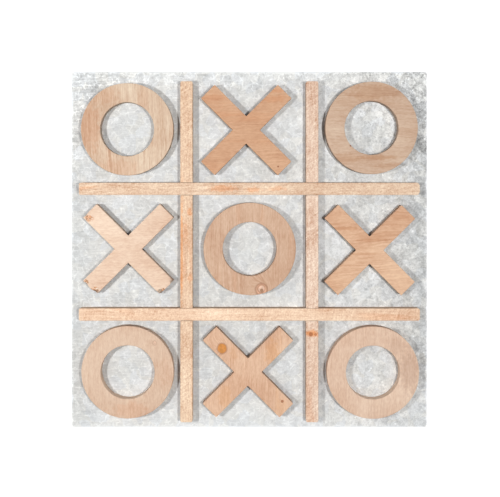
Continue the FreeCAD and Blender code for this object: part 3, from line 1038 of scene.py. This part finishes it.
make_ring(
    "ring_top_left",
    turn=20,
    seed=21,
    finish=wood(
        "ring_top_left_pine",
        (215, 187, 161),
        seed=21,
        grain=QUARTER + 0.03,
        contrast=1.0,
        streaks=0.15,
        stains=((-42, 2, 34, 13, 0.26), (-12, -44, 12, 26, 0.16), (-24, 38, 12, 16, 0.16)),
    ),
)
make_ring(
    "ring_top_right",
    turn=75,
    seed=22,
    finish=wood(
        "ring_top_right_pine",
        (202, 170, 145),
        seed=22,
        grain=0.02,
        contrast=0.7,
        streak=(176, 124, 84),
        streaks=0.2,
        knots=((-23.5, -19.8, 0.8, (140, 92, 66), 0.5),),
        stains=(
            (2, 40, 34, 11, 0.36),
            (4, -33, 24, 3, 0.5),
            (-30, -34, 16, 7, 0.3),
            (20, -42, 20, 4, 0.3),
        ),
    ),
)
make_ring(
    "ring_centre",
    turn=40,
    seed=23,
    finish=wood(
        "ring_centre_pine",
        (208, 172, 145),
        seed=23,
        grain=QUARTER,
        contrast=0.8,
        streaks=0.2,
        sides=0.3,
        knots=(
            (13.0, -45.0, 6.4, (218, 172, 142), 0.45),
            (13.0, -44.0, 3.9, (232, 192, 166), 0.5),
            (13.3, -46.0, 1.9, (168, 128, 100), 0.3),
        ),
    ),
)
make_ring(
    "ring_bottom_left",
    turn=5,
    seed=24,
    finish=wood(
        "ring_bottom_left_pine",
        (214, 182, 157),
        seed=24,
        grain=QUARTER,
        contrast=0.45,
        streaks=0.1,
        sides=0.15,
        # a real knot; its fill, paler than the wood, is a painted highlight where the knot bulges
        knots=((30.0, 32.5, 2.2, (226, 190, 164), 0.35),),
        stains=((4, -42, 10, 24, 0.2), (42, 0, 20, 10, 0.1)),
    ),
)
make_ring(
    "ring_bottom_right",
    turn=100,
    seed=25,
    finish=wood(
        "ring_bottom_right_pine",
        (223, 190, 165),
        seed=25,
        grain=QUARTER,
        contrast=0.55,
        streak=(174, 134, 112),
        streaks=0.1,
        sides=0.15,
        stains=((40, 2, 26, 13, 0.42), (26, 30, 12, 10, 0.2)),
    ),
)

make_cross(
    "cross_top",
    turn=45,
    seed=31,
    finish=wood(
        "cross_top_pine",
        (209, 163, 129),
        seed=31,
        grain=0.03,
        contrast=0.6,
        streaks=0.3,
        corner_shade=0.95,
        knots=((35.3, -40.6, 0.9, (150, 92, 60), 0.6),),
        stains=((30, 34, 20, 4, 0.3), (-34, 36, 16, 4, 0.25), (34, 44, 12, 3, 0.3)),
    ),
)
make_cross(
    "cross_left",
    turn=45,
    seed=32,
    finish=wood(
        "cross_left_pine",
        (229, 198, 173),
        seed=32,
        grain=0.02,
        contrast=0.4,
        streaks=0.1,
        corner_shade=0.9,
        chips=((-43.0, 34.5, 4.6), (-46.5, -36.0, 3.0), (-37.0, -45.0, 4.0), (39.0, -45.0, 2.6)),
    ),
    wear=(
        (-47.0, 37.0, 4.0, 1.4),
        (-46.5, -38.0, 3.5, 1.6),
        (-36.0, -49.0, 6.5, 3.2),
        (35.5, -49.0, 6.0, 3.0),
        (49.5, -35.0, 5.0, 2.4),
    ),
)
make_cross(
    "cross_right",
    turn=44.7,
    seed=33,
    finish=wood(
        "cross_right_pine",
        (220, 177, 144),
        seed=33,
        grain=0.02,
        contrast=0.8,
        streak=(186, 124, 82),
        streaks=0.3,
        corner_shade=0.95,
        stains=(
            (-27, 24, 20, 2.4, 0.5),
            (2, 11, 22, 2.0, 0.4),
            (34, 36, 14, 3, 0.3),
            (-8, -4, 20, 1.6, 0.3),
        ),
    ),
)
make_cross(
    "cross_bottom",
    turn=44.9,
    seed=34,
    finish=wood(
        "cross_bottom_pine",
        (220, 179, 149),
        seed=34,
        grain=QUARTER,
        contrast=0.75,
        streak=(216, 154, 96),
        streaks=0.25,
        corner_shade=0.25,
        knots=((-28.7, 26.4, 5.4, (209, 139, 72), 0.4), (38.1, -32.2, 1.4, (176, 116, 84), 0.6)),
        stains=(
            (27, 22, 17, 9, 0.38),
            (-26, -27, 15, 8, 0.3),
            (-16, 20, 10, 5, 0.2),
            (38, -38, 12, 6, 0.2),
        ),
    ),
)


def dress(node, finish):
    """Give a carried-over CAD node its finish."""
    mesh = NODES[node].data
    mesh.materials.clear()
    mesh.materials.append(finish)


dress("core_panel", fibreboard("fibreboard"))
zinc = plated("zinc_plate", (196, 198, 204), 0.32)
dress("strip_screws", zinc)
dress("flange_screws", zinc)
dress("rubber_feet", rubber("foot_rubber"))
nickel = plated("nickel_plate", (202, 198, 190), 0.16, 0.05)
for name in NODES:
    if name.endswith("_magnets"):
        dress(name, nickel)


# ------------------------------------------------------------------ floor, light, camera


def make_floor():
    """Plain white floor."""
    bm = bmesh.new()
    bmesh.ops.create_grid(bm, x_segments=1, y_segments=1, size=6.0)
    floor = finish_mesh("floor", bm)
    g = Graph("floor_white")
    g.shader.inputs["Base Color"].default_value = (0.9, 0.9, 0.9, 1.0)
    g.shader.inputs["Roughness"].default_value = 0.9
    g.shader.inputs["Emission Color"].default_value = (1.0, 1.0, 1.0, 1.0)
    g.shader.inputs["Emission Strength"].default_value = 0.65
    floor.data.materials.append(g.material)


def make_backdrop():
    """Pale dome behind everything; only the camera sees it."""
    bm = bmesh.new()
    bmesh.ops.create_uvsphere(bm, u_segments=48, v_segments=24, radius=5.5)
    dome = finish_mesh("backdrop", bm)
    g = Graph("backdrop_white")
    g.shader.inputs["Base Color"].default_value = (0.0, 0.0, 0.0, 1.0)
    g.shader.inputs["Emission Color"].default_value = (1.0, 1.0, 1.0, 1.0)
    g.shader.inputs["Emission Strength"].default_value = 0.97
    dome.data.materials.append(g.material)
    dome.visible_diffuse = False
    dome.visible_glossy = False
    dome.visible_transmission = False
    dome.visible_shadow = False


LAMP_WHITE = (1.0, 0.99, 0.98)


def add_light(name, place, size, power):
    """Rectangular lamp aimed at the middle of the board."""
    data = bpy.data.lights.new(name, "AREA")
    data.shape = "RECTANGLE"
    data.size, data.size_y = size
    data.energy = power
    data.color = LAMP_WHITE
    lamp = bpy.data.objects.new(name, data)
    lamp.location = place
    aim = Vector((0, 0, FACE_Z)) - Vector(place)
    lamp.rotation_euler = aim.to_track_quat("-Z", "Y").to_euler()
    bpy.context.scene.collection.objects.link(lamp)


make_floor()
make_backdrop()
add_light("left_softbox", (-0.568, 0.03, 0.92), (0.08, 0.06), 4.9)
add_light("right_softbox", (0.40, 0.03, 1.42), (0.12, 0.09), 9.3)

# soft fill from the pale walls all round, none from straight above
world = bpy.data.worlds.new("studio")
world.use_nodes = True
sky = world.node_tree
sky.nodes["Background"].inputs[0].default_value = (0.93, 0.96, 1.0, 1.0)
facing = sky.nodes.new("ShaderNodeTexCoord")
height = sky.nodes.new("ShaderNodeSeparateXYZ")
fade = sky.nodes.new("ShaderNodeMapRange")
AT_HORIZON, OVERHEAD = 0.80, 0.02
for socket, number in zip(fade.inputs[1:5], (0.0, 1.0, AT_HORIZON, OVERHEAD)):
    socket.default_value = number
sky.links.new(facing.outputs["Generated"], height.inputs[0])
sky.links.new(height.outputs["Z"], fade.inputs[0])
sky.links.new(fade.outputs[0], sky.nodes["Background"].inputs[1])
bpy.context.scene.world = world
bpy.context.scene.view_settings.view_transform = "Standard"
bpy.context.scene.view_settings.look = "None"

# the camera looks straight down; its axis meets the board above and left of the middle
camera_data = bpy.data.cameras.new("camera")
camera_data.lens = 60.0
camera_data.sensor_width = 36.0
camera_data.shift_x = 0.025
camera_data.shift_y = -0.137
camera_data.clip_start = 0.05
camera = bpy.data.objects.new("camera", camera_data)
distance = 0.938
picture_middle = (0.9 * MM, 1.1 * MM)
seen_width = distance * camera_data.sensor_width / camera_data.lens
camera.location = (
    picture_middle[0] - camera_data.shift_x * seen_width,
    picture_middle[1] - camera_data.shift_y * seen_width,
    FACE_Z - BEND + distance,
)
bpy.context.scene.collection.objects.link(camera)
bpy.context.scene.camera = camera
